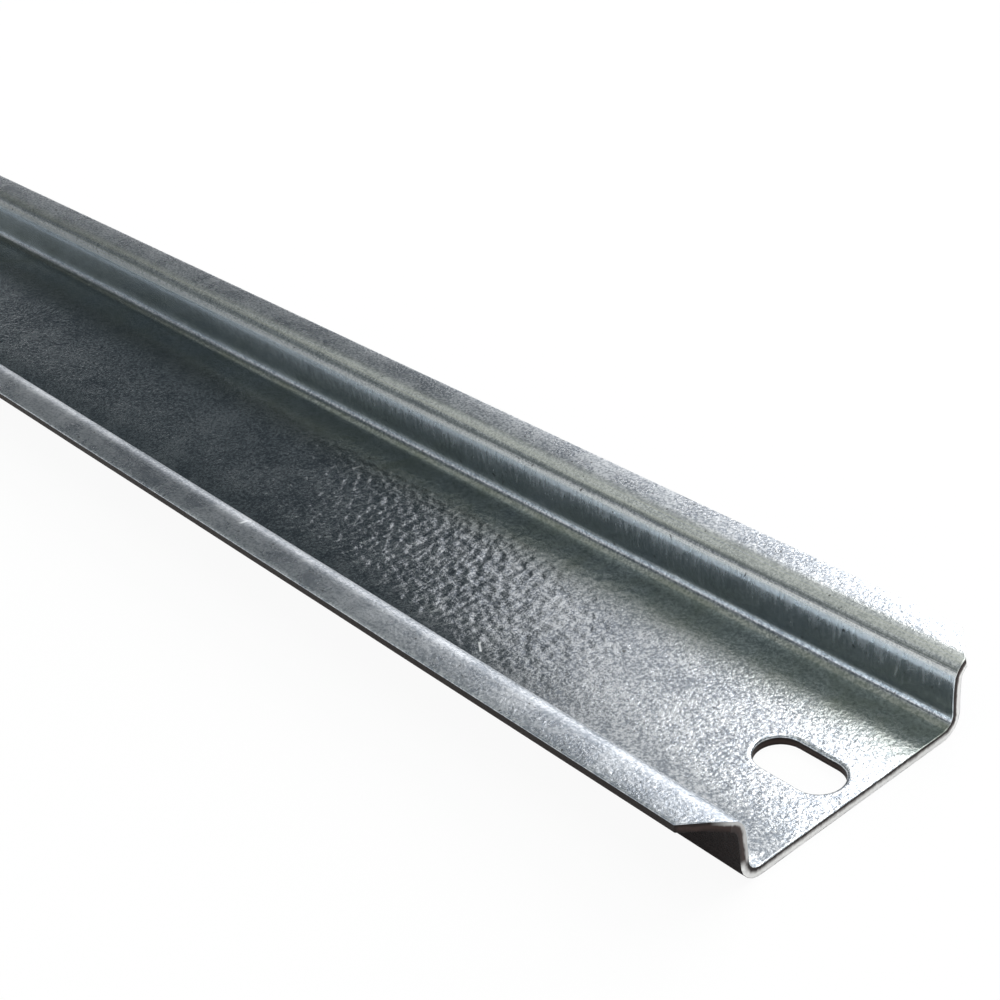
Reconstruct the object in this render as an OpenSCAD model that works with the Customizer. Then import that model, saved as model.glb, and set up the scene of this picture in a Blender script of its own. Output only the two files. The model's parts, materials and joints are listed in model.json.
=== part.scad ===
// Mounting rail of top-hat section, roll-formed from one strip of galvanised steel.
// Devices snap over the two flanges, and screws hold the base through a slot near each end.
// The origin is on the underside of the base, half way along and half way across.
// +X runs along the rail and +Z points from the base to the flanges.

/* [Rail] */
// Length of the rail
rail_length = 300; // [100:5:1000]
// Width over the two flanges
rail_width = 35; // [33:0.5:40]
// Height from the underside of the base to the top of the flanges
rail_height = 7.5; // [6.5:0.5:15]
// Width of the channel, outside its two side walls
channel_width = 27; // [24:0.5:28]

/* [Strip] */
// Thickness of the steel strip
strip_thickness = 1; // [0.8:0.1:1.5]
// Radius on the inner side of each bend
bend_radius = 1.2; // [0.4:0.1:1.6]
// Rounding of the strip's two slit edges
edge_radius = 0.15; // [0.05:0.05:0.3]

/* [Fixing slots] */
// Length of a slot along the rail, end to end
slot_length = 9.1; // [7:0.1:16]
// Width of a slot
slot_width = 4.8; // [4.2:0.1:6.4]
// Steel left between a slot and the end of the rail
slot_margin = 1.7; // [1:0.1:10]
// Radius of the drawn-in edge that the punch leaves round the top of a slot
slot_edge_radius = 0.25; // [0.1:0.05:0.5]

/* [Clipped corners] */
// Length of a clipped corner along the edge of the flange
clip_length = 3; // [1:0.1:6]
// Flange left beside the wall at the end of the rail
clip_land = 0.7; // [0.2:0.1:1.6]

/* [Hidden] */
$fn = 64;

outer_bend_radius = bend_radius + strip_thickness;
wall_face = channel_width / 2;
flange_edge = rail_width / 2;
slot_radius = slot_width / 2;
// Distance from the middle of a slot to the centre of each of its round ends
slot_reach = slot_length / 2 - slot_radius;
// Distance from the middle of the rail to the middle of each slot
slot_station = rail_length / 2 - slot_margin - slot_length / 2;
// How far a cutting shape runs past the face that it cuts
overcut = 1;

module at_both_ends() {
    children();
    mirror([1, 0, 0]) children();
}

module on_both_sides() {
    children();
    mirror([0, 1, 0]) children();
}

// A quarter of a bend's section, in the quadrant that the two signs name
module bend_section(side_sign, up_sign) {
    intersection() {
        difference() {
            circle(r = outer_bend_radius);
            circle(r = bend_radius);
        }
        translate([side_sign < 0 ? -outer_bend_radius : 0, up_sign < 0 ? -outer_bend_radius : 0])
            square(outer_bend_radius);
    }
}

// Flat of the flange, which ends in the rounded slit edge
module flange_section() {
    flat_start = wall_face + bend_radius;
    translate([flat_start, rail_height - strip_thickness])
        square([flange_edge - edge_radius - flat_start, strip_thickness]);
    translate([flat_start, rail_height - strip_thickness + edge_radius])
        square([flange_edge - flat_start, strip_thickness - 2 * edge_radius]);
    for (edge_height = [rail_height - edge_radius, rail_height - strip_thickness + edge_radius])
        translate([flange_edge - edge_radius, edge_height]) circle(r = edge_radius);
}

// One half of the section, from the centre line to the edge of the flange
module half_section() {
    square([wall_face - outer_bend_radius, strip_thickness]);
    translate([wall_face - outer_bend_radius, outer_bend_radius]) bend_section(1, -1);
    translate([wall_face - strip_thickness, outer_bend_radius])
        square([strip_thickness, rail_height - 2 * outer_bend_radius]);
    translate([wall_face + bend_radius, rail_height - outer_bend_radius]) bend_section(-1, 1);
    flange_section();
}

module strip() {
    translate([-rail_length / 2, 0, 0])
        rotate([90, 0, 90])
            linear_extrude(height = rail_length) {
                half_section();
                mirror([1, 0]) half_section();
            }
}

// Section of what the drawn-in edge takes away, from the middle of the slot to one side
module slot_edge_section() {
    difference() {
        translate([0, strip_thickness - slot_edge_radius])
            square([slot_radius + slot_edge_radius, slot_edge_radius + overcut]);
        translate([slot_radius + slot_edge_radius, strip_thickness - slot_edge_radius])
            circle(r = slot_edge_radius);
    }
}

module slot_round_end() {
    translate([slot_reach, 0, 0]) {
        translate([0, 0, -overcut]) cylinder(r = slot_radius, h = strip_thickness + 2 * overcut);
        rotate_extrude() slot_edge_section();
    }
}

module slot_straight() {
    translate([-slot_reach, 0, 0]) {
        translate([0, -slot_radius, -overcut])
            cube([2 * slot_reach, slot_width, strip_thickness + 2 * overcut]);
        rotate([90, 0, 90])
            linear_extrude(height = 2 * slot_reach) {
                slot_edge_section();
                mirror([1, 0]) slot_edge_section();
            }
    }
}

module slot_cut() {
    at_both_ends() slot_round_end();
    slot_straight();
}

module corner_clip() {
    clip_width = flange_edge - wall_face - clip_land;
    translate([rail_length / 2, flange_edge, -overcut])
        linear_extrude(height = rail_height + 2 * overcut)
            polygon([
                [-clip_length, 0],
                [0, -clip_width],
                [overcut, -clip_width],
                [overcut, overcut],
                [-clip_length, overcut]
            ]);
}

module rail() {
    color([0.66, 0.69, 0.70])
        difference() {
            strip();
            at_both_ends() translate([slot_station, 0, 0]) slot_cut();
            at_both_ends() on_both_sides() corner_clip();
        }
}

rail();
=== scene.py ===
"""Looks of a top-hat mounting rail: its formed strip, zinc coat and bare cut edges, in a plain studio."""
import json
import math

import bpy
import numpy as np
from mathutils import Matrix, Vector, noise
from mathutils.geometry import delaunay_2d_cdt


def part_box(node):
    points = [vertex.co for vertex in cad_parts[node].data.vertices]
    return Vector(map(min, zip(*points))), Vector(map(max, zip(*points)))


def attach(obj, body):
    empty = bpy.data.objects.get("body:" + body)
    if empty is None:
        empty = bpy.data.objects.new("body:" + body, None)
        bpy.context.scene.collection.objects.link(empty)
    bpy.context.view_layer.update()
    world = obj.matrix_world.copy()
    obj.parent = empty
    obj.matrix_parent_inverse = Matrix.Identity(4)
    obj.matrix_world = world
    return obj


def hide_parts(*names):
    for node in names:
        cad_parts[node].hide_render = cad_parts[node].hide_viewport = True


bl_info = {
    "name": "Mounting Rail",
    "version": (1, 0, 0),
    "blender": (4, 5, 0),
    "location": "3D View > Sidebar > Rail",
    "description": "Forms a zinc-coated top-hat rail from a flat blank and lights it",
    "category": "Object",
}

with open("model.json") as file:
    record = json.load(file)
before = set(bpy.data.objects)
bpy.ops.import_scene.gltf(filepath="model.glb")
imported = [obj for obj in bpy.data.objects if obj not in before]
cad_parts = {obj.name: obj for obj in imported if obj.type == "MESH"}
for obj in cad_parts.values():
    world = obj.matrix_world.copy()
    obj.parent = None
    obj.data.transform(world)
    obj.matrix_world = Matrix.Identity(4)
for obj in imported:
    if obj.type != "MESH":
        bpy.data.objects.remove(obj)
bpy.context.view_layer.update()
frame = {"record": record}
MM = 0.001
MM_PER_METRE = 1000
# A point closer than this to an edge lies on it
ON_EDGE = 0.01 * MM
RAIL_LOW, RAIL_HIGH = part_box("rail")
SLOT = next(m for m in frame["record"]["mounts"] if m["name"] == "fixing_slots")["dims"]
# Scratches on the blank, and one painted glint: start and stop as x along and distance across, then the
# width, in millimetres, and how strongly each one shows
MARKS = (
    # Painted highlight: this first stroke stands for a glint on a small burr by the near bend, laid flat
    # on the base
    (109.1, -6.75, 110.5, -7.7, 0.32, 0.6),
    (81.9, -20.1, 82.0, -19.15, 0.45, 0.6),
    (82.0, -19.15, 82.6, -18.4, 0.40, 0.5),
    (143.6, 14.9, 143.9, 16.0, 0.25, 0.55),
    (72.4, 5.2, 72.6, 6.15, 0.30, 0.35),
    (149.1, -10.0, 149.3, -10.6, 0.30, 0.5),
)
# Softboxes: the name, the setting that holds the power, azimuth and elevation in degrees, then the
# distance from the end of the rail and the two sides in metres
SOFTBOXES = (
    ("key softbox", "key_power", 101.5, 33, 1.2, (1.0, 1.05)),
    ("side softbox", "side_power", 137, 30, 1.3, (0.30, 0.80)),
    ("top softbox", "top_power", 90, 88, 1.3, (0.9, 0.9)),
)
SENSOR_WIDTH = 36


# ---------------------------------------------------------------- settings

def length(name, description, default, low=0.0):
    """A length that the sidebar shows in the scene's own unit."""
    return bpy.props.FloatProperty(name=name, description=description, default=default, min=low,
                                   unit="LENGTH", precision=5)


def share(name, description, default):
    """A number from 0 to 1."""
    return bpy.props.FloatProperty(name=name, description=description, default=default, min=0, max=1,
                                   subtype="FACTOR")


def colour(name, description, default):
    """A linear colour."""
    return bpy.props.FloatVectorProperty(name=name, description=description, default=default, size=3,
                                         min=0, max=1, subtype="COLOR")


class RailSizes(bpy.types.PropertyGroup):
    """Sizes of the blank, its punching and its bends."""
    length: length("Length", "Length of the rail", RAIL_HIGH.x - RAIL_LOW.x)
    width: length("Width", "Width over the two flanges", RAIL_HIGH.y - RAIL_LOW.y)
    height: length("Height", "Height over the flanges", RAIL_HIGH.z - RAIL_LOW.z)
    channel: length("Channel", "Width outside the two side walls", 27 * MM)
    strip: length("Strip", "Thickness of the steel strip", 1 * MM)
    bend: length("Bend", "Radius on the inner side of each bend", 1.2 * MM)
    slit_edge: length("Slit edge", "Rounding of the strip's long edges", 0.15 * MM)
    slot_length: length("Slot length", "Length of a fixing slot", SLOT["slot_length_mm"] * MM)
    slot_width: length("Slot width", "Width of a fixing slot", 2 * SLOT["hole_r_mm"] * MM)
    slot_spacing: length("Slot spacing", "Distance between the middles of the slots",
                         SLOT["spacing_x_mm"] * MM)
    slot_roll: length("Slot edge", "Radius drawn in by the punch round a slot", 0.25 * MM)
    clip_length: length("Clip length", "Length of a clipped corner along the flange", 3 * MM)
    clip_land: length("Clip land", "Flange left beside the wall at the end", 0.7 * MM)
    cut_roll: length("Cut edge", "Radius drawn in by the shear along a cut", 0.08 * MM)
    fray: length("Fray", "Depth of the roughness along a cut", 0.05 * MM)
    wave: length("Wave", "Height of the slow waves that the rolls leave", 0.02 * MM)
    spring: length("Spring-back", "How far the upper bends sink where the strip springs back", 0.15 * MM)
    spring_reach: length("Spring-back reach", "How far along the strip that sinking spreads", 2.1 * MM)
    droop: length("Droop", "How far the long edges sink below the crown of the flanges", 0.05 * MM)
    step: length("Mesh step", "Spacing of the mesh near the ends", 0.55 * MM, 0.2 * MM)
    step_along: length("Mesh step along", "Spacing of the mesh along the middle", 1.1 * MM, 0.3 * MM)


class ZincFinish(bpy.types.PropertyGroup):
    """Look of the zinc coat."""
    light: colour("Light zinc", "Colour of the bright patches", (0.755, 0.773, 0.803))
    dark: colour("Dark zinc", "Colour of the dull pits", (0.30, 0.33, 0.375))
    # Painted reflection: olive lines along the far upper bend, standing for the khaki ceiling that bend
    # mirrors
    bend_reflection_tint: colour("Bend tint", "Tint of the coat on the upper bends", (0.61, 0.62, 0.565))
    wall: colour("Wall tint", "Tint of the coat on the walls", (0.64, 0.73, 0.78))
    # Painted shade: a dark olive colour beside the foot of the walls, mostly on the far side
    wall_foot_shade: colour("Grime", "Tint of the film that gathers beside the walls", (0.115, 0.135, 0.09))
    rough: share("Roughness", "Roughness of the coat on the base", 0.15)
    rough_flange: share("Flange roughness", "Roughness of the coat on the flanges", 0.28)
    rough_wall: share("Wall roughness", "Roughness of the coat on the walls", 0.20)
    grain: length("Grain", "Size of the soft grain", 0.62 * MM)
    grain_height: length("Grain height", "Height of the soft grain", 0.034 * MM)
    lump: length("Lump", "Size of the lumps along the middle", 1.05 * MM)
    lump_height: length("Lump height", "Height of those lumps", 0.10 * MM)
    pit: length("Pit", "Size of the fine pits", 0.30 * MM)
    pit_height: length("Pit depth", "Depth of the fine pits", 0.022 * MM)
    # Painted shade: how far the lower face, the outer walls and the undersides of the flanges are laid
    # near black
    lower_face_shade: share("Underside", "How far the lower face is dulled", 0.94)
    patch: length("Patch", "Size of the dull and bright patches", 6 * MM)
    peel_height: length("Peel height", "Height of the broad unevenness of the coat", 0.012 * MM)
    drag_height: length("Drag height", "Height of the marks that the rolls drag over the walls", 0.03 * MM)
    line_height: length("Line height", "Height of the fine lines along the bends", 0.012 * MM)
    speck: colour("Speck", "Colour of the dark specks", (0.05, 0.05, 0.05))
    # Also the colour of one painted glint
    scratch_and_glint: colour("Scratch", "Colour of the bright scratches", (0.95, 0.96, 0.97))
    # Painted shade: the near black colours laid over the lower face
    painted_shade_dark: colour("Dark film", "Darkest colour of the film on the lower face", (0.009, 0.005, 0.004))
    painted_shade_light: colour("Light film", "Lightest colour of that film", (0.019, 0.010, 0.008))


class CutFinish(bpy.types.PropertyGroup):
    """Look of the bare steel along the cuts."""
    # Painted shade: both colours of the cut are near black, far darker than bare steel, for cut faces in
    # shade
    dark: colour("Rubbed steel", "Colour where the blade rubbed", (0.018, 0.012, 0.011))
    light: colour("Broken steel", "Colour where the steel broke", (0.045, 0.028, 0.025))
    # Painted highlight: the lower part of the end cut is laid near white
    clean: colour("Clean cut", "Colour of the lower part of the end cut", (0.90, 0.885, 0.88))
    rough: share("Roughness", "Roughness of the broken steel", 0.5)
    streak_height: length("Streak height", "Height of the streaks that the blade leaves", 0.03 * MM)


class StudioSettings(bpy.types.PropertyGroup):
    """Floor, lamps and camera."""
    floor: colour("Floor", "Colour of the floor", (0.9, 0.9, 0.9))
    floor_glow: share("Floor glow", "How far the floor shows as plain white", 0.94)
    floor_mirrored: share("Floor in metal", "How far the floor shows as plain white in the metal", 0.06)
    horizon: colour("Horizon", "Light of the backdrop low down", (1.0, 1.0, 1.0))
    gap: colour("Gap", "Light between the backdrop and the ceiling", (0.058, 0.071, 0.077))
    front_gap: colour("Front gap", "Light of that gap on the camera's side", (0.15, 0.175, 0.19))
    ceiling: colour("Ceiling", "Light of the ceiling", (0.62, 0.65, 0.625))
    key_power: bpy.props.FloatProperty(name="Key lamp", description="Power of the main softbox",
                                       default=15, min=0, unit="POWER")
    side_power: bpy.props.FloatProperty(name="Side lamp", description="Power of the dim softbox beside it",
                                        default=0.52, min=0, unit="POWER")
    top_power: bpy.props.FloatProperty(name="Top lamp", description="Power of the softbox overhead",
                                       default=4, min=0, unit="POWER")
    camera_place: bpy.props.FloatVectorProperty(name="Camera place", description="Where the camera stands",
                                                default=(0.2325, -0.09294, 0.10578), subtype="TRANSLATION",
                                                unit="LENGTH")
    camera_turn: bpy.props.FloatProperty(name="Camera azimuth", description="Side that it looks from",
                                         default=math.radians(53.66), subtype="ANGLE")
    camera_tilt: bpy.props.FloatProperty(name="Camera elevation", description="Angle that it looks down",
                                         default=math.radians(30.73), subtype="ANGLE")
    camera_roll: bpy.props.FloatProperty(name="Camera roll", description="Turn about its line of sight",
                                         default=math.radians(-7.30), subtype="ANGLE")
    lens: bpy.props.FloatProperty(name="Lens", description="Focal length on a 36 mm sensor", default=68.99,
                                  min=10, unit="CAMERA")


# ---------------------------------------------------------------- geometry

def smooth_step(low, high, value):
    """0 below low, 1 above high and a smooth ramp between."""
    ramp = np.clip((value - low) / (high - low), 0, 1)
    return ramp * ramp * (3 - 2 * ramp)


def noise_field(*coordinates):
    """Perlin noise at each point, about -1 to 1. The coordinates are arrays or numbers."""
    points = np.stack(np.broadcast_arrays(*coordinates), -1)
    flat = [noise.noise(Vector(point)) for point in points.reshape(-1, 3)]
    return np.array(flat).reshape(points.shape[:-1])


def require(condition, message):
    """Stops the run when something is missing."""
    if not condition:
        raise RuntimeError(message)


class Section:
    """The section of the rail, walked along the middle of the sheet from the centre line outwards."""

    def __init__(self, size):
        self.size = size
        self.outer = size.bend + size.strip
        self.middle = size.bend + size.strip / 2
        quarter = self.middle * math.pi / 2
        self.base_end = size.channel / 2 - self.outer
        self.wall_start = self.base_end + quarter
        self.wall_end = self.wall_start + size.height - 2 * self.outer
        self.flange_start = self.wall_end + quarter
        self.reach = self.flange_start + (size.width - size.channel) / 2 - size.bend

    def place(self, across, depth):
        """Where a point of the blank goes: across is its signed distance from the centre line, depth is
        its height above the middle of the sheet on the side that faces up on the base."""
        size = self.size
        run = np.abs(across)
        low_turn = (run - self.base_end) / self.middle
        high_turn = (run - self.wall_end) / self.middle
        inside = self.middle - depth
        outside = self.middle + depth
        stops = (self.base_end, self.wall_start, self.wall_end, self.flange_start)
        zone = [run <= stop for stop in stops]
        y = np.select(zone, [
            run,
            self.base_end + inside * np.sin(low_turn),
            self.base_end + inside,
            size.channel / 2 + size.bend - outside * np.cos(high_turn),
        ], size.channel / 2 + size.bend + run - self.flange_start)
        z = np.select(zone, [
            size.strip / 2 + depth,
            self.outer - inside * np.cos(low_turn),
            self.outer + run - self.wall_start,
            size.height - self.outer + outside * np.sin(high_turn),
        ], size.height - size.strip / 2 + depth)
        return np.sign(across) * y, z


class Blank:
    """The flat blank: a rectangle with clipped corners and two slots, as x along and s across."""
    # How far in from the outline, and out from a slot, the mesh follows their shape
    RIM = np.array([0, 0.02, 0.05, 0.1, 0.15, 0.3]) * MM
    SLOT_RIM = np.array([0, 0.02, 0.05, 0.1, 0.17, 0.25, 0.45]) * MM
    # Length of the patch that makes an end, and how far its grid keeps off the outline and the slot
    END_PATCH = 14 * MM
    RIM_CLEARANCE = 0.42 * MM
    SLOT_CLEARANCE = 0.65 * MM
    BASE_LINES, BEND_LINES, WALL_LINES, FLANGE_LINES = 15, 11, 6, 5
    SLOT_END_POINTS = 25
    # In millimetres, as the patch is scaled when it is divided into triangles
    SAME_POINT = 1e-5

    def __init__(self, size, section):
        self.size = size
        self.section = section
        self.end = size.length / 2
        self.seam = self.end - self.END_PATCH
        self.clip_width = (size.width - size.channel) / 2 - size.clip_land
        self.slot_middle = size.slot_spacing / 2
        self.slot_radius = size.slot_width / 2
        self.slot_reach = size.slot_length / 2 - self.slot_radius
        self.clip_normal = np.array([self.clip_width, size.clip_length])
        self.clip_normal /= np.linalg.norm(self.clip_normal)

    def clip_distance(self, x, s):
        """Distance inwards from the line of the nearest clipped corner."""
        corner = np.array([self.end - self.size.clip_length, self.section.reach])
        return ((corner[0] - np.abs(x)) * self.clip_normal[0]
                + (corner[1] - np.abs(s)) * self.clip_normal[1])

    def slot_distance(self, x, s):
        """Distance outwards from the edge of the nearest slot."""
        past_end = np.maximum(np.abs(np.abs(x) - self.slot_middle) - self.slot_reach, 0)
        return np.hypot(past_end, s) - self.slot_radius

    def cut_distance(self, x, s):
        """Distance inwards from the nearest sheared edge: an end or a clipped corner."""
        return np.minimum(self.end - np.abs(x), self.clip_distance(x, s))

    def slit_distance(self, s):
        """Distance inwards from the nearer long edge."""
        return self.section.reach - np.abs(s)

    def lines_across(self):
        """Where the lines of the mesh run along the strip, from one long edge to the other."""
        part = self.section
        half = np.concatenate([
            np.linspace(0, part.base_end, self.BASE_LINES),
            np.linspace(part.base_end, part.wall_start, self.BEND_LINES)[1:],
            np.linspace(part.wall_start, part.wall_end, self.WALL_LINES)[1:],
            np.linspace(part.wall_end, part.flange_start, self.BEND_LINES)[1:],
            np.linspace(part.flange_start, part.reach - self.RIM[-1], self.FLANGE_LINES)[1:],
            part.reach - self.RIM[-2::-1],
        ])
        return np.concatenate([-half[:0:-1], half])

    def outline(self, inset):
        """Points of the outline from the seam round one end and back, moved in by inset."""
        corners = np.array([
            [self.seam, -self.section.reach],
            [self.end - self.size.clip_length, -self.section.reach],
            [self.end, self.clip_width - self.section.reach],
            [self.end, self.section.reach - self.clip_width],
            [self.end - self.size.clip_length, self.section.reach],
            [self.seam, self.section.reach],
        ])
        along = np.diff(corners, axis=0)
        lengths = np.linalg.norm(along, axis=1)
        inward = np.stack([-along[:, 1], along[:, 0]], 1) / lengths[:, None]
        points = [[self.seam, inset - self.section.reach]]
        for first, second in zip(range(4), range(1, 5)):
            points.append(meet(corners[first] + inset * inward[first], along[first],
                               corners[second] + inset * inward[second], along[second]))
        points.append([self.seam, self.section.reach - inset])
        run = []
        for start, stop, span in zip(points, points[1:], lengths):
            count = max(2, round(span / self.size.step))
            run += [tuple(np.array(start) + (np.array(stop) - start) * k / count) for k in range(count)]
        return run + [tuple(points[-1])]

    def slot_ring(self, outset):
        """Points round the slot of one end, moved out by outset."""
        radius = self.slot_radius + outset
        turns = np.linspace(-math.pi / 2, math.pi / 2, self.SLOT_END_POINTS)
        near = [(self.slot_reach + radius * math.cos(a), radius * math.sin(a)) for a in turns]
        far = [(-x, -s) for x, s in near]
        count = round(2 * self.slot_reach / self.size.step)
        side = [(self.slot_reach * (1 - 2 * k / count), radius) for k in range(1, count)]
        ring = near + side + far + [(-x, -s) for x, s in side]
        return [(self.slot_middle + x, s) for x, s in ring]

    def end_patch(self):
        """Points and triangles of the blank from the seam to one end."""
        points, edges = [], []

        def add(chain, closed):
            start = len(points)
            points.extend(chain)
            edges.extend((start + k, start + k + 1) for k in range(len(chain) - 1))
            if closed:
                edges.append((start + len(chain) - 1, start))

        for inset in self.RIM:
            add(self.outline(inset), False)
        for outset in self.SLOT_RIM:
            add(self.slot_ring(outset), True)
        across = self.lines_across()
        add([(self.seam, s) for s in across[len(self.RIM):-len(self.RIM)]], False)
        count = round((self.end - self.seam) / self.size.step)
        grid_x, grid_s = np.meshgrid(np.linspace(self.seam, self.end, count + 1)[1:], across)
        inside = np.minimum(self.cut_distance(grid_x, grid_s), self.slit_distance(grid_s))
        clear = inside > self.RIM_CLEARANCE
        clear &= self.slot_distance(grid_x, grid_s) > self.SLOT_CLEARANCE
        points += list(zip(grid_x[clear], grid_s[clear]))
        scaled = [Vector((x - self.seam, s)) / MM for x, s in points]
        found, _, faces, *_ = delaunay_2d_cdt(scaled, edges, [], 0, self.SAME_POINT)
        flat = np.array([tuple(v) for v in found]) * MM + [self.seam, 0]
        faces = np.array(faces)
        centre = flat[faces].mean(1)
        return flat, faces[self.slot_distance(centre[:, 0], centre[:, 1]) > 0]

    def mesh(self):
        """Points and faces of the whole flat blank."""
        flat, faces = self.end_patch()
        across = self.lines_across()
        count = round(2 * self.seam / self.size.step_along)
        grid_x, grid_s = np.meshgrid(np.linspace(-self.seam, self.seam, count + 1), across, indexing="ij")
        rows = len(across)
        corner = (np.arange(count)[:, None] * rows + np.arange(rows - 1)).ravel()
        quads = np.stack([corner, corner + rows, corner + rows + 1, corner + 1], 1)
        grid = np.stack([grid_x.ravel(), grid_s.ravel()], 1)
        points = np.concatenate([grid, flat, flat * [-1, 1]])
        shift = len(grid)
        cells = [tuple(q) for q in quads]
        cells += [tuple(f + shift) for f in faces]
        cells += [tuple(f[::-1] + shift + len(flat)) for f in faces]
        return weld(points, cells)


def meet(start, along, other, other_along):
    """Where two lines cross."""
    share_along, _ = np.linalg.solve(np.stack([along, -other_along], 1), other - start)
    return start + share_along * along


def weld(points, cells, reach=0.002 * MM):
    """Joins points that lie within reach of each other."""
    key = np.round(points / reach).astype(np.int64)
    _, first, index = np.unique(key, axis=0, return_index=True, return_inverse=True)
    index = index.ravel()
    welded = []
    for cell in cells:
        corners = [int(index[k]) for k in cell]
        if len(set(corners)) == len(corners):
            welded.append(tuple(corners))
    return points[first], welded


def rolled(distance, radius):
    """How far a rounded edge has dropped at a distance from the edge."""
    left = np.clip(radius - distance, 0, radius)
    return radius - np.sqrt(radius * radius - left * left)


def rim_of(cells):
    """Boundary edges of the flat mesh, each with the sheet on its left."""
    seen = {}
    for cell in cells:
        for a, b in zip(cell, cell[1:] + cell[:1]):
            if (b, a) in seen:
                del seen[(b, a)]
            else:
                seen[(a, b)] = True
    return list(seen)


def inward_normals(points, rim):
    """Unit vectors from the boundary points into the sheet."""
    normals = np.zeros_like(points)
    for a, b in rim:
        dx, ds = points[b] - points[a]
        normals[a] += (-ds, dx)
        normals[b] += (-ds, dx)
    span = np.linalg.norm(normals, axis=1, keepdims=True)
    return normals / np.where(span > 0, span, 1)


class FormedStrip:
    """The blank bent to the section and given its thickness."""
    # The layers of the sheet, from its upper face to its lower
    DEPTHS = (0.0, 0.14, 0.32, 0.36, 0.6, 0.86, 1.0)
    WAVE_SPAN = (21 * MM, 9 * MM)
    RIPPLE_SPAN = (6 * MM, 4 * MM)
    SWAY_SPAN = 17 * MM
    FINE_FRAY, COARSE_FRAY = 0.35 * MM, 1.3 * MM
    SHARP_ANGLE = math.radians(38)

    def __init__(self, size):
        self.size = size
        self.section = Section(size)
        self.blank = Blank(size, self.section)
        self.points, self.cells = self.blank.mesh()
        self.rim = rim_of(self.cells)
        self.normals = inward_normals(self.points, self.rim)

    def lift(self, x, s):
        """Slow waves in the sheet. The base only rises and the flanges only sink."""
        wave = noise_field(x / self.WAVE_SPAN[0], s / self.WAVE_SPAN[1], 3.1)
        ripple = noise_field(x / self.RIPPLE_SPAN[0], s / self.RIPPLE_SPAN[1], 8.7)
        height = self.size.wave * np.clip(0.5 + 0.5 * (wave + 0.4 * ripple), 0, 1)
        side = 1 - 2 * smooth_step(self.section.wall_start, self.section.wall_end, np.abs(s))
        return height * side

    def relaxed(self, s):
        """How far the sheet sinks as it springs back: along the upper bends and towards the long edges."""
        run = np.abs(s)
        size, part = self.size, self.section
        at_bend = np.exp(-((run - (part.wall_end + part.flange_start) / 2) / size.spring_reach) ** 2)
        crown = (part.flange_start + part.reach) / 2
        at_edge = np.clip((run - crown) / (part.reach - crown), 0, None) ** 2
        return -size.spring * at_bend - size.droop * at_edge

    def sway(self, x, s):
        """Slow wander of the long edges, always inwards."""
        amount = self.size.wave * (1 + noise_field(x / self.SWAY_SPAN, np.sign(s) * 4.2, 0.3))
        return -np.sign(s) * amount * smooth_step(self.section.flange_start, self.section.reach, np.abs(s))

    def fray(self, x, s, layer):
        """How far a sheared edge is broken back at each point of one layer."""
        fine = noise_field(x / self.FINE_FRAY, s / self.FINE_FRAY, layer * 2.3)
        coarse = noise_field(x / self.COARSE_FRAY, s / self.COARSE_FRAY, layer * 0.6 + 5)
        depth = self.size.fray * np.clip(0.45 + 0.35 * fine + 0.5 * coarse, 0, 1.4)
        on_slit = self.blank.slit_distance(s) < ON_EDGE
        return np.where(on_slit, 0.3 * depth, depth)

    def layer(self, depth_share):
        """3D points of one layer of the sheet, from 0 at the upper face to 1 at the lower."""
        x, s = self.points.T
        size = self.size
        rims = [(self.blank.slit_distance(s), size.slit_edge, size.slit_edge),
                (self.blank.cut_distance(x, s), size.cut_roll, size.cut_roll / 3),
                (self.blank.slot_distance(x, s), size.slot_roll, size.cut_roll / 3)]
        upper = size.strip / 2 - np.max([rolled(d, up) for d, up, _ in rims], 0)
        lower = np.max([rolled(d, down) for d, _, down in rims], 0) - size.strip / 2
        depth = upper + (lower - upper) * depth_share + self.wave
        on_rim = np.any(self.normals != 0, axis=1)
        cut_in = np.zeros(len(x))
        cut_in[on_rim] = self.fray(x[on_rim], s[on_rim], depth_share)
        x = x + cut_in * self.normals[:, 0]
        s = s + cut_in * self.normals[:, 1] + self.side
        y, z = self.section.place(s, depth)
        return np.stack([x, y, z], 1)

    def build(self, name):
        """Makes the object: both faces of the sheet, and the cut edges between them as rows of faces."""
        x, s = self.points.T
        self.wave = self.lift(x, s) + self.relaxed(s)
        self.side = self.sway(x, s)
        layers = [self.layer(d) for d in self.DEPTHS]
        on_rim = sorted({k for edge in self.rim for k in edge})
        faces = list(self.cells) + [self.lower(cell) for cell in self.cells]
        sheet_faces = len(faces)
        faces += self.edge_faces(on_rim)
        mesh = bpy.data.meshes.new(name)
        verts = [layers[0], layers[-1]] + [layer[on_rim] for layer in layers[1:-1]]
        mesh.from_pydata(np.concatenate(verts).tolist(), [], faces)
        self.mark_points(mesh, x, s, on_rim)
        slots = np.zeros(len(faces), np.int32)
        slots[sheet_faces:] = 1
        mesh.polygons.foreach_set("material_index", slots)
        mesh.polygons.foreach_set("use_smooth", np.ones(len(faces), bool))
        mesh.set_sharp_from_angle(angle=self.SHARP_ANGLE)
        mesh.validate()
        mesh.update()
        piece = bpy.data.objects.new(name, mesh)
        bpy.context.scene.collection.objects.link(piece)
        return piece

    def lower(self, cell):
        """The same face on the lower side of the sheet, turned over."""
        return tuple(len(self.points) + k for k in reversed(cell))

    def edge_faces(self, on_rim):
        """Faces that close the sheet along its rim, one row between each layer and the next."""
        place = {k: i for i, k in enumerate(on_rim)}
        count = len(self.points)
        last = len(self.DEPTHS) - 1

        def index(k, row):
            if row == 0:
                return k
            if row == last:
                return count + k
            return 2 * count + (row - 1) * len(on_rim) + place[k]

        return [(index(b, row), index(a, row), index(a, row + 1), index(b, row + 1))
                for a, b in self.rim for row in range(last)]

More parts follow.
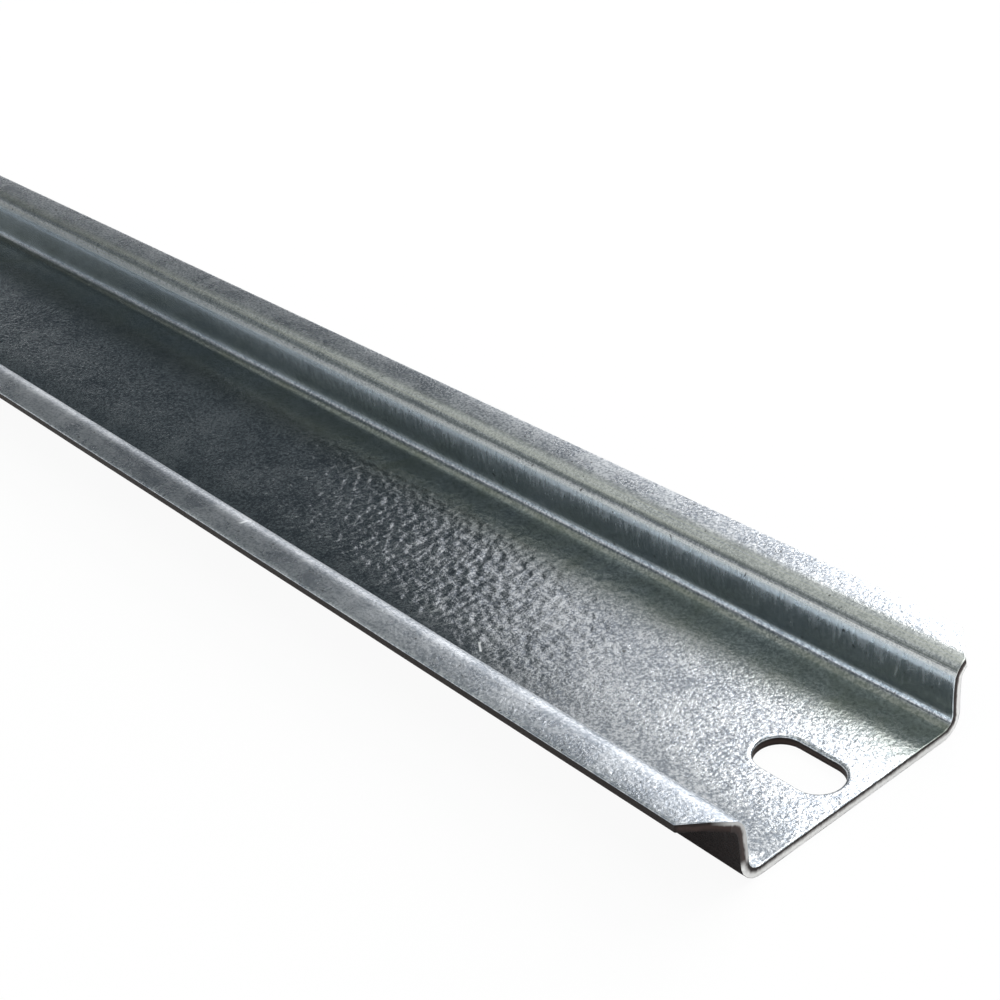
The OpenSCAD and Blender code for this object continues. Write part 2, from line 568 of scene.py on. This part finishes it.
    def mark_points(self, mesh, x, s, on_rim):
        """Stores what the materials ask for: the place across the blank, the depth and the end cut."""
        rows = len(self.DEPTHS) - 2
        across = [s, s] + [s[on_rim]] * rows
        below = [np.zeros(len(x)), np.ones(len(x))] + [np.full(len(on_rim), d) for d in self.DEPTHS[1:-1]]
        at_end = (self.blank.end - np.abs(x) < ON_EDGE).astype(float)
        end_cut = [at_end, at_end] + [at_end[on_rim]] * rows
        for label, values in (("across", across), ("below", below), ("end_cut", end_cut)):
            attribute = mesh.attributes.new(label, "FLOAT", "POINT")
            attribute.data.foreach_set("value", np.concatenate(values).astype(np.float32))


# ---------------------------------------------------------------- shaders

class Wire:
    """A node's output that takes part in Python expressions."""

    def __init__(self, bench, socket):
        self.bench = bench
        self.socket = socket

    def __add__(self, other):
        return self.bench.maths("ADD", self, other)

    def __sub__(self, other):
        return self.bench.maths("SUBTRACT", self, other)

    def __mul__(self, other):
        return self.bench.maths("MULTIPLY", self, other)

    def __radd__(self, other):
        return self.bench.maths("ADD", other, self)

    def __rsub__(self, other):
        return self.bench.maths("SUBTRACT", other, self)

    def __rmul__(self, other):
        return self.bench.maths("MULTIPLY", other, self)

    def __abs__(self):
        return self.bench.maths("ABSOLUTE", self)

    def larger(self, other):
        return self.bench.maths("MAXIMUM", self, other)

    def ramp(self, low, high, start=0.0, stop=1.0):
        """start below low, stop above high, with a smooth change between."""
        return self.bench.node("ShaderNodeMapRange", {"interpolation_type": "SMOOTHSTEP"},
                               {"Value": self, "From Min": low, "From Max": high, "To Min": start,
                                "To Max": stop})


class Bench:
    """Builds one node tree."""

    def __init__(self, tree):
        self.tree = tree
        tree.nodes.clear()

    def node(self, kind, settings=None, inputs=None, output=0):
        """Adds a node: its settings first, then the values or wires of its sockets."""
        node = self.tree.nodes.new(kind)
        for key, value in (settings or {}).items():
            setattr(node, key, value)
        for key, value in (inputs or {}).items():
            if isinstance(value, Wire):
                self.tree.links.new(value.socket, node.inputs[key])
            else:
                node.inputs[key].default_value = value
        return Wire(self, node.outputs[output])

    def maths(self, operation, *values):
        return self.node("ShaderNodeMath", {"operation": operation}, dict(enumerate(values)))

    def mix(self, factor, first, second):
        """Mixes two colours, which a Mix node takes at its sockets 6 and 7 and gives at its output 2."""
        return self.node("ShaderNodeMix", {"data_type": "RGBA"}, {0: factor, 6: first, 7: second}, 2)

    def vector(self, operation, first, second):
        return self.node("ShaderNodeVectorMath", {"operation": operation}, {0: first, 1: second})

    def combine(self, x, y, z):
        return self.node("ShaderNodeCombineXYZ", None, {0: x, 1: y, 2: z})

    def axis(self, place, name):
        return self.node("ShaderNodeSeparateXYZ", None, {0: place}, name)

    def attribute(self, name):
        """A number stored at the points of the mesh."""
        return self.node("ShaderNodeAttribute", {"attribute_name": name}, None, "Fac")

    def ray(self, kind):
        """1 for rays of that kind and 0 for others."""
        return self.node("ShaderNodeLightPath", None, None, kind)

    def millimetres(self):
        """The place on the object, in millimetres."""
        place = self.node("ShaderNodeTexCoord", None, None, "Object")
        return self.vector("MULTIPLY", place, (MM_PER_METRE, MM_PER_METRE, MM_PER_METRE))

    def principled(self, inputs):
        return self.node("ShaderNodeBsdfPrincipled", None, inputs)

    def clouds(self, place, size, detail=2.0, rough=0.5, twist=0.0):
        """Noise from 0 to 1 with features about as big as size, in the unit of place."""
        return self.node("ShaderNodeTexNoise", {"noise_dimensions": "3D"},
                         {"Vector": place, "Scale": 1 / size, "Detail": detail, "Roughness": rough,
                          "Distortion": twist})

    def bump(self, height, distance, below=None):
        """A bumped normal, on top of another one where below gives it."""
        inputs = {"Height": height, "Distance": distance, "Strength": 1.0}
        if below is not None:
            inputs["Normal"] = below
        return self.node("ShaderNodeBump", None, inputs)

    def finish(self, kind, shader):
        """Links the shader to the tree's output node."""
        output = self.tree.nodes.new(kind)
        self.tree.links.new(shader.socket, output.inputs["Surface"])


def linear(value):
    """A colour with full alpha."""
    return (*value, 1.0)


def new_material(name):
    """An empty material and the bench for its nodes."""
    material = bpy.data.materials.new(name)
    material.use_nodes = True
    return material, Bench(material.node_tree)


class ZincCoat:
    """The zinc coat: fine pits, cloudy patches and what the rolls leave along the bends and walls, with
    painted shade beside the walls, on the near flange and over the lower face, and painted reflections and
    one painted glint in its colour.
    Places and sizes are in millimetres."""
    SPECK, PEEL, DRIFT = 0.55, 2.6, 31
    # Where the lumps along the middle lie: their middle, and how far from it they start to fade and end
    LUMPS_AT, LUMPS_FADE, LUMPS_END = 90, 10, 44

    def __init__(self, finish, size):
        self.finish = finish
        self.material, self.bench = new_material("zinc coat")
        self.survey(Section(size))
        self.texture()

    def survey(self, section):
        """Where each point lies on the sheet, and masks for the parts of the section."""
        bench = self.bench
        self.place = bench.millimetres()
        self.x, self.y = (bench.axis(self.place, name) for name in "XY")
        self.signed = bench.attribute("across") * MM_PER_METRE
        self.across = abs(self.signed)
        self.low_bend = (section.base_end + section.wall_start) / 2 / MM
        self.high_bend = (section.wall_end + section.flange_start) / 2 / MM
        self.in_high_bend = self.band(self.high_bend, 0.6, 1.9)
        self.on_wall = self.band((self.low_bend + self.high_bend) / 2, 1.6, 2.8)
        self.on_flange = self.across.ramp(self.high_bend - 0.2, self.high_bend + 1.6)
        self.bent = self.band(self.low_bend, 0.9, 2.0).larger(self.in_high_bend)
        self.far_side = self.signed.ramp(-1.0, 1.0)
        self.near_flange = self.on_flange * (1 - self.far_side)

    def band(self, middle, full, gone):
        """A mask along the rail: 1 within full of the middle line, and 0 further off than gone."""
        return 1 - abs(self.across - middle).ramp(full, gone)

    def stretched(self, along, over):
        """The place on the blank, scaled by one number along the rail and by another across it."""
        return self.bench.combine(self.x * along, self.across * over, self.y * 0.01)

    def texture(self):
        """The textures that colour, roughness and relief share."""
        bench, place, finish = self.bench, self.place, self.finish
        self.pits = bench.clouds(place, finish.pit / MM, 3.0, 0.68)
        self.patches = bench.clouds(place, finish.patch / MM, 4.0, 0.62, 0.6)
        self.lines = bench.clouds(self.stretched(0.03, 5.5), 1.0, 3.0, 0.55)
        self.drags = bench.clouds(self.stretched(2.2, 0.45), 1.0, 3.0, 0.6)
        self.smears_and_sheen = self.smears_with_sheen()
        self.scratches_and_glint = self.scratched_and_glinted()

    def smears_with_sheen(self):
        """Lighter zinc dragged down the walls from the upper bends, nearly gone past the middle of the
        rail. Its lighter colour is partly a painted reflection of the streaky light on the walls.
        """
        drop = self.high_bend - 1.2 - self.across
        # The lighter colour here is partly a painted reflection of the streaky light on the walls
        smears_and_sheen = (self.drags - drop * 0.10).ramp(0.28, 0.66)
        smears_and_sheen = smears_and_sheen * drop.ramp(-1.0, 0.0) * drop.ramp(2.6, 3.6, 1.0, 0.0)
        return smears_and_sheen * self.x.ramp(10, 95, 0.05, 1.0)

    def scratched_and_glinted(self):
        """Every stroke on the blank: worn lines, and one painted glint."""
        strokes = [stroke_mask(self.x, self.signed, *mark) for mark in MARKS]
        joined = strokes[0]
        for stroke in strokes[1:]:
            joined = joined.larger(stroke)
        return joined

    def wall_foot_shade(self):
        """Painted shade beside the foot of the walls, in a dark olive colour, mostly on the far side."""
        foot = self.across.ramp(self.low_bend - 0.35, self.low_bend + 0.45, 1.0, 0.0)
        beside = self.across.ramp(2.8, 8.7) * foot
        return beside * (0.75 + (self.patches - 0.5) * 0.9) * self.far_side.ramp(0.0, 1.0, 0.15, 1.0)

    def tone(self):
        """How light the zinc is: pits and clouds, with streaks along the flanges, and painted shade that
        sets the whole near flange darker.
        """
        drift = self.bench.clouds(self.place, self.DRIFT, 2.0, 0.5)
        streaks = self.bench.clouds(self.stretched(0.6, 3.0), 1.0, 4.0, 0.65)
        tone = (self.pits + (self.patches - 0.5) * 0.28 + (drift - 0.5) * 0.15).ramp(0.36, 0.62)
        tone = tone + self.near_flange * (self.patches.ramp(0.3, 0.7, 0.45, 1.0) - tone) * 0.4
        # Painted shade: the whole near flange is set darker
        return tone * (1 - self.on_flange * streaks.ramp(0.5, 0.66, 0.0, 0.4)) - self.near_flange * 0.22

    def colour(self):
        """The zinc, then painted shade beside the walls, a painted reflection along the far upper bend,
        the wall tint, lighter streaks whose colour is partly a painted reflection, specks, and worn lines
        with one painted glint over it.
        """
        bench, finish = self.bench, self.finish
        specks = bench.clouds(self.place, self.SPECK, 1.0, 0.5).ramp(0.72, 0.80)
        # Painted reflection on the far upper bend only
        painted_bend_reflection = self.in_high_bend * self.far_side * self.lines.ramp(0.3, 0.65, 0.2, 0.75)
        base = bench.mix(self.tone(), linear(finish.dark), linear(finish.light))
        # Painted light among these layers: shade beside the walls, a reflection along the far bend, a
        # sheen in the lighter wall streaks and one glint among the marks
        for cover, paint in ((self.wall_foot_shade() * 0.88, finish.wall_foot_shade), (painted_bend_reflection, finish.bend_reflection_tint),
                             (self.on_wall * 0.6, finish.wall), (self.smears_and_sheen * 0.4, finish.light),
                             (specks * 0.8, finish.speck), (self.scratches_and_glint, finish.scratch_and_glint)):
            base = bench.mix(cover, base, linear(paint))
        return base

    def roughness(self):
        """Smooth zinc, a little rougher on the bends, smears, scratches and flanges."""
        finish = self.finish
        wall = self.x.ramp(0, 90, -0.04, finish.rough_wall - finish.rough)
        rough = finish.rough + (self.patches - 0.5) * 0.12
        rough = rough + self.bent * (0.20 - self.far_side * 0.15) + self.on_wall * wall
        rough = (rough + self.smears_and_sheen * 0.12).larger(self.scratches_and_glint * 0.7)
        return rough + self.on_flange * (finish.rough_flange - finish.rough)

    def relief(self):
        """Bumps of the coat: broad unevenness, lumps along the middle, grain, pits and drag marks."""
        bench, place, finish, across = self.bench, self.place, self.finish, self.across
        ironed = across.ramp(5.0, 9.5, 1.0, 0.25).larger(self.on_flange)
        lumpy = abs(self.x - self.LUMPS_AT).ramp(self.LUMPS_FADE, self.LUMPS_END, 1.0, 0.0)
        lumps = bench.clouds(place, finish.lump / MM, 0.6, 0.5) * lumpy * across.ramp(5.0, 10.5, 1.0, 0.1)
        grain = bench.clouds(place, finish.grain / MM, 2.5, 0.6, 0.3) * ironed * (1 - lumpy * 0.6)
        normal = bench.bump(bench.clouds(place, self.PEEL, 2.0, 0.5), finish.peel_height)
        for height, distance in ((lumps, finish.lump_height), (grain, finish.grain_height),
                                 (self.pits * ironed, finish.pit_height),
                                 (self.drags * self.on_wall, finish.drag_height)):
            normal = bench.bump(height, distance, normal)
        return normal

    def build(self):
        """Bright zinc, and over the lower face a near black painted shade, weaker on the far side."""
        bench, finish = self.bench, self.finish
        relief = self.relief()
        lined = bench.bump(self.lines * self.bent, finish.line_height, relief)
        zinc = bench.principled({"Base Color": self.colour(), "Metallic": 1.0,
                                 "Roughness": self.roughness(), "Normal": lined})
        # Painted shade: a near black matt shader over the lower face, full on the near side and weaker on
        # the far side
        painted_shade = bench.mix(self.patches, linear(finish.painted_shade_dark), linear(finish.painted_shade_light))
        dull = bench.principled({"Base Color": painted_shade, "Roughness": 0.9, "Specular IOR Level": 0.05,
                                 "Normal": relief})
        dulled = bench.attribute("below") * finish.lower_face_shade * self.signed.ramp(-4.0, 4.0, 1.0, 0.4)
        shader = bench.node("ShaderNodeMixShader", None, {0: dulled, 1: zinc, 2: dull})
        bench.finish("ShaderNodeOutputMaterial", shader)
        return self.material


def stroke_mask(x, across, start_x, start_across, stop_x, stop_across, width, strength):
    """How strongly a straight stroke between two points of the blank shows."""
    span_x, span_across = stop_x - start_x, stop_across - start_across
    span = math.hypot(span_x, span_across)
    unit_x, unit_across = span_x / span, span_across / span
    off_x, off_across = x - (start_x + stop_x) / 2, across - (start_across + stop_across) / 2
    past = abs(off_x * unit_x + off_across * unit_across) - span / 2
    aside = abs(off_across * unit_x - off_x * unit_across) - width / 2
    return past.larger(aside).ramp(-width * 0.5, width * 0.3, strength, 0.0)


def cut_material(finish, size):
    """Bare steel of a sheared edge: a dark rubbed band above and below a slightly paler broken one, both
    near black as painted shade. The lower part of the end cut of the rail is a painted highlight, near
    white."""
    material, bench = new_material("cut steel")
    section = Section(size)
    wall = section.wall_start / MM
    reach = section.reach / MM
    place = bench.millimetres()
    streaks = bench.clouds(bench.vector("MULTIPLY", place, (1, 1, 0.35)), 0.3, 3.0, 0.6)
    mottle = bench.clouds(place, 1.6, 3.0, 0.6)
    signed = bench.attribute("across") * MM_PER_METRE
    depth = bench.attribute("below") + (mottle - 0.5) * 0.5 + (streaks - 0.5) * 0.25
    off_slit = signed.ramp(-reach, -reach + 0.3)
    broken = depth.ramp(0.22, 0.42) * depth.ramp(0.62, 0.95, 1.0, 0.25) * off_slit
    base = bench.mix(broken, linear(finish.dark), linear(finish.light))
    near_wall = signed.ramp(-wall - 0.6, -wall + 0.4, 1.0, 0.0)
    far_wall = signed.ramp(wall - 2.6, wall - 0.6)
    # Painted highlight on the end cut, placed differently on the near and far walls by how each catches
    # the light
    bright = depth.ramp(0.16, 0.72) * (1 - near_wall) * (1 - far_wall * depth.ramp(0.42, 0.68, 1.0, 0.0))
    bright = bright.larger(near_wall * depth.ramp(0.25, 0.5, 0.6, 0.0))
    base = bench.mix(bench.attribute("end_cut") * bright, base, linear(finish.clean))
    rough = finish.rough + (mottle - 0.5) * 0.2
    normal = bench.bump(streaks, finish.streak_height)
    shader = bench.principled({"Base Color": base, "Metallic": 0.2, "Roughness": rough,
                               "Specular IOR Level": 0.2, "Normal": normal})
    bench.finish("ShaderNodeOutputMaterial", shader)
    return material


def floor_material(settings):
    """A pale floor that shows as white and keeps a soft shadow."""
    material, bench = new_material("studio floor")
    seen = bench.ray("Is Camera Ray") * settings.floor_glow
    for kind in ("Is Glossy Ray", "Is Transmission Ray"):
        seen = seen.larger(bench.ray(kind) * settings.floor_mirrored)
    matt = bench.node("ShaderNodeBsdfDiffuse", None, {"Color": linear(settings.floor)})
    white = bench.node("ShaderNodeEmission", None, {"Color": (1, 1, 1, 1), "Strength": 1.0})
    shader = bench.node("ShaderNodeMixShader", None, {0: seen, 1: matt, 2: white})
    bench.finish("ShaderNodeOutputMaterial", shader)
    return material


# ---------------------------------------------------------------- operators

class RAIL_OT_form_strip(bpy.types.Operator):
    """Punch the blank, bend it to the section and coat it"""
    bl_idname = "rail.form_strip"
    bl_label = "Form the Strip"

    def execute(self, context):
        scene = context.scene
        piece = FormedStrip(scene.rail_sizes).build("formed_strip")
        require(piece.data.polygons, "the strip came out without faces")
        piece.data.materials.append(ZincCoat(scene.rail_zinc, scene.rail_sizes).build())
        piece.data.materials.append(cut_material(scene.rail_cut, scene.rail_sizes))
        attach(piece, "root")
        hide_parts("rail")
        context.view_layer.update()
        corners = [piece.matrix_world @ Vector(corner) for corner in piece.bound_box]
        require(all(low - ON_EDGE <= value <= high + ON_EDGE
                    for corner in corners for value, low, high in zip(corner, RAIL_LOW, RAIL_HIGH)),
                "the strip reaches outside the rail's box")
        return {"FINISHED"}


class RAIL_OT_studio(bpy.types.Operator):
    """Lay the floor, hang the lamps and set the camera"""
    bl_idname = "rail.studio"
    bl_label = "Set the Studio"

    def execute(self, context):
        settings = context.scene.rail_studio
        self.floor(settings)
        self.world(context.scene, settings)
        near_end = Vector((RAIL_HIGH.x, 0, 0))
        for name, power, *place in SOFTBOXES:
            self.softbox(name, getattr(settings, power), near_end, *place)
        self.camera(context.scene, settings)
        context.scene.view_settings.view_transform = "Standard"
        require(context.scene.camera, "the studio has no camera")
        return {"FINISHED"}

    @staticmethod
    def floor(settings, reach=3.0, level=-0.02 * MM):
        """A square floor, just below the rail so that the two don't share a plane."""
        mesh = bpy.data.meshes.new("studio_floor")
        sides = ((-reach, -reach), (reach, -reach), (reach, reach), (-reach, reach))
        corners = [(x, y, level) for x, y in sides]
        mesh.from_pydata(corners, [], [(0, 1, 2, 3)])
        floor = bpy.data.objects.new("studio_floor", mesh)
        bpy.context.scene.collection.objects.link(floor)
        mesh.materials.append(floor_material(settings))

    @staticmethod
    def world(scene, settings):
        """A white backdrop low down, a dim gap above it and then the ceiling. Along, depth and height are
        the parts of each direction's unit vector."""
        world = bpy.data.worlds.new("studio")
        scene.world = world
        world.use_nodes = True
        bench = Bench(world.node_tree)
        direction = bench.node("ShaderNodeTexCoord", None, None, "Generated")
        along, depth, height = (bench.axis(direction, name) for name in "XYZ")
        raised = depth.ramp(-0.5, 0.2, 0.11, 0.0)
        gap = bench.mix(depth.ramp(-0.5, 0.0), linear(settings.front_gap), linear(settings.gap))
        dimmed = along.ramp(-0.9, -0.5, 0.88, 0.0) * depth.ramp(-0.5, -0.1, 1.0, 0.0)
        backdrop = bench.mix(dimmed * height.ramp(-0.02, 0.02), linear(settings.horizon), gap)
        lower = bench.mix((height - raised).ramp(0.20, 0.29), backdrop, gap)
        overhead = (height - depth.ramp(0.2, 0.5, 0.0, 0.18)).ramp(0.56, 0.64)
        light = bench.mix(overhead, lower, linear(settings.ceiling))
        background = bench.node("ShaderNodeBackground", None, {"Color": light, "Strength": 1.0})
        bench.finish("ShaderNodeOutputWorld", background)

    @staticmethod
    def softbox(name, power, target, azimuth, elevation, distance, size):
        """A rectangular lamp on a sphere round the target; azimuth turns from +X towards +Y."""
        lamp = bpy.data.lights.new(name, "AREA")
        lamp.shape = "RECTANGLE"
        lamp.size, lamp.size_y = size
        lamp.energy = power
        turn, rise = math.radians(azimuth), math.radians(elevation)
        away = Vector((math.cos(turn) * math.cos(rise), math.sin(turn) * math.cos(rise), math.sin(rise)))
        holder = bpy.data.objects.new(name, lamp)
        holder.location = target + away * distance
        holder.rotation_euler = away.to_track_quat("Z", "Y").to_euler()
        bpy.context.scene.collection.objects.link(holder)

    @staticmethod
    def camera(scene, settings):
        """The camera, aimed by its azimuth, elevation and roll."""
        data = bpy.data.cameras.new("studio camera")
        data.sensor_width = SENSOR_WIDTH
        data.lens = settings.lens
        data.clip_start = 0.01
        holder = bpy.data.objects.new("studio camera", data)
        turn, tilt = settings.camera_turn, settings.camera_tilt
        back = Vector((math.sin(turn) * math.cos(tilt), -math.cos(turn) * math.cos(tilt), math.sin(tilt)))
        aim = back.to_track_quat("Z", "Y").to_matrix() @ Matrix.Rotation(settings.camera_roll, 3, "Z")
        holder.matrix_world = Matrix.Translation(settings.camera_place) @ aim.to_4x4()
        scene.collection.objects.link(holder)
        scene.camera = holder


class RAIL_PT_sidebar(bpy.types.Panel):
    """The rail's sizes, finishes and studio"""
    bl_idname = "RAIL_PT_sidebar"
    bl_label = "Mounting Rail"
    bl_space_type = "VIEW_3D"
    bl_region_type = "UI"
    bl_category = "Rail"

    def draw(self, context):
        for group in ("rail_sizes", "rail_zinc", "rail_cut", "rail_studio"):
            settings = getattr(context.scene, group)
            box = self.layout.box()
            for name in settings.__annotations__:
                box.prop(settings, name)
        self.layout.operator(RAIL_OT_form_strip.bl_idname)
        self.layout.operator(RAIL_OT_studio.bl_idname)


GROUPS = {"rail_sizes": RailSizes, "rail_zinc": ZincFinish, "rail_cut": CutFinish,
          "rail_studio": StudioSettings}
CLASSES = (*GROUPS.values(), RAIL_OT_form_strip, RAIL_OT_studio, RAIL_PT_sidebar)


def register():
    for cls in CLASSES:
        bpy.utils.register_class(cls)
    for name, group in GROUPS.items():
        setattr(bpy.types.Scene, name, bpy.props.PointerProperty(type=group))


def unregister():
    for name in GROUPS:
        delattr(bpy.types.Scene, name)
    for cls in reversed(CLASSES):
        bpy.utils.unregister_class(cls)


def main():
    """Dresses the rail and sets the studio."""
    register()
    bpy.ops.rail.form_strip()
    bpy.ops.rail.studio()


if __name__ == "__main__":
    main()
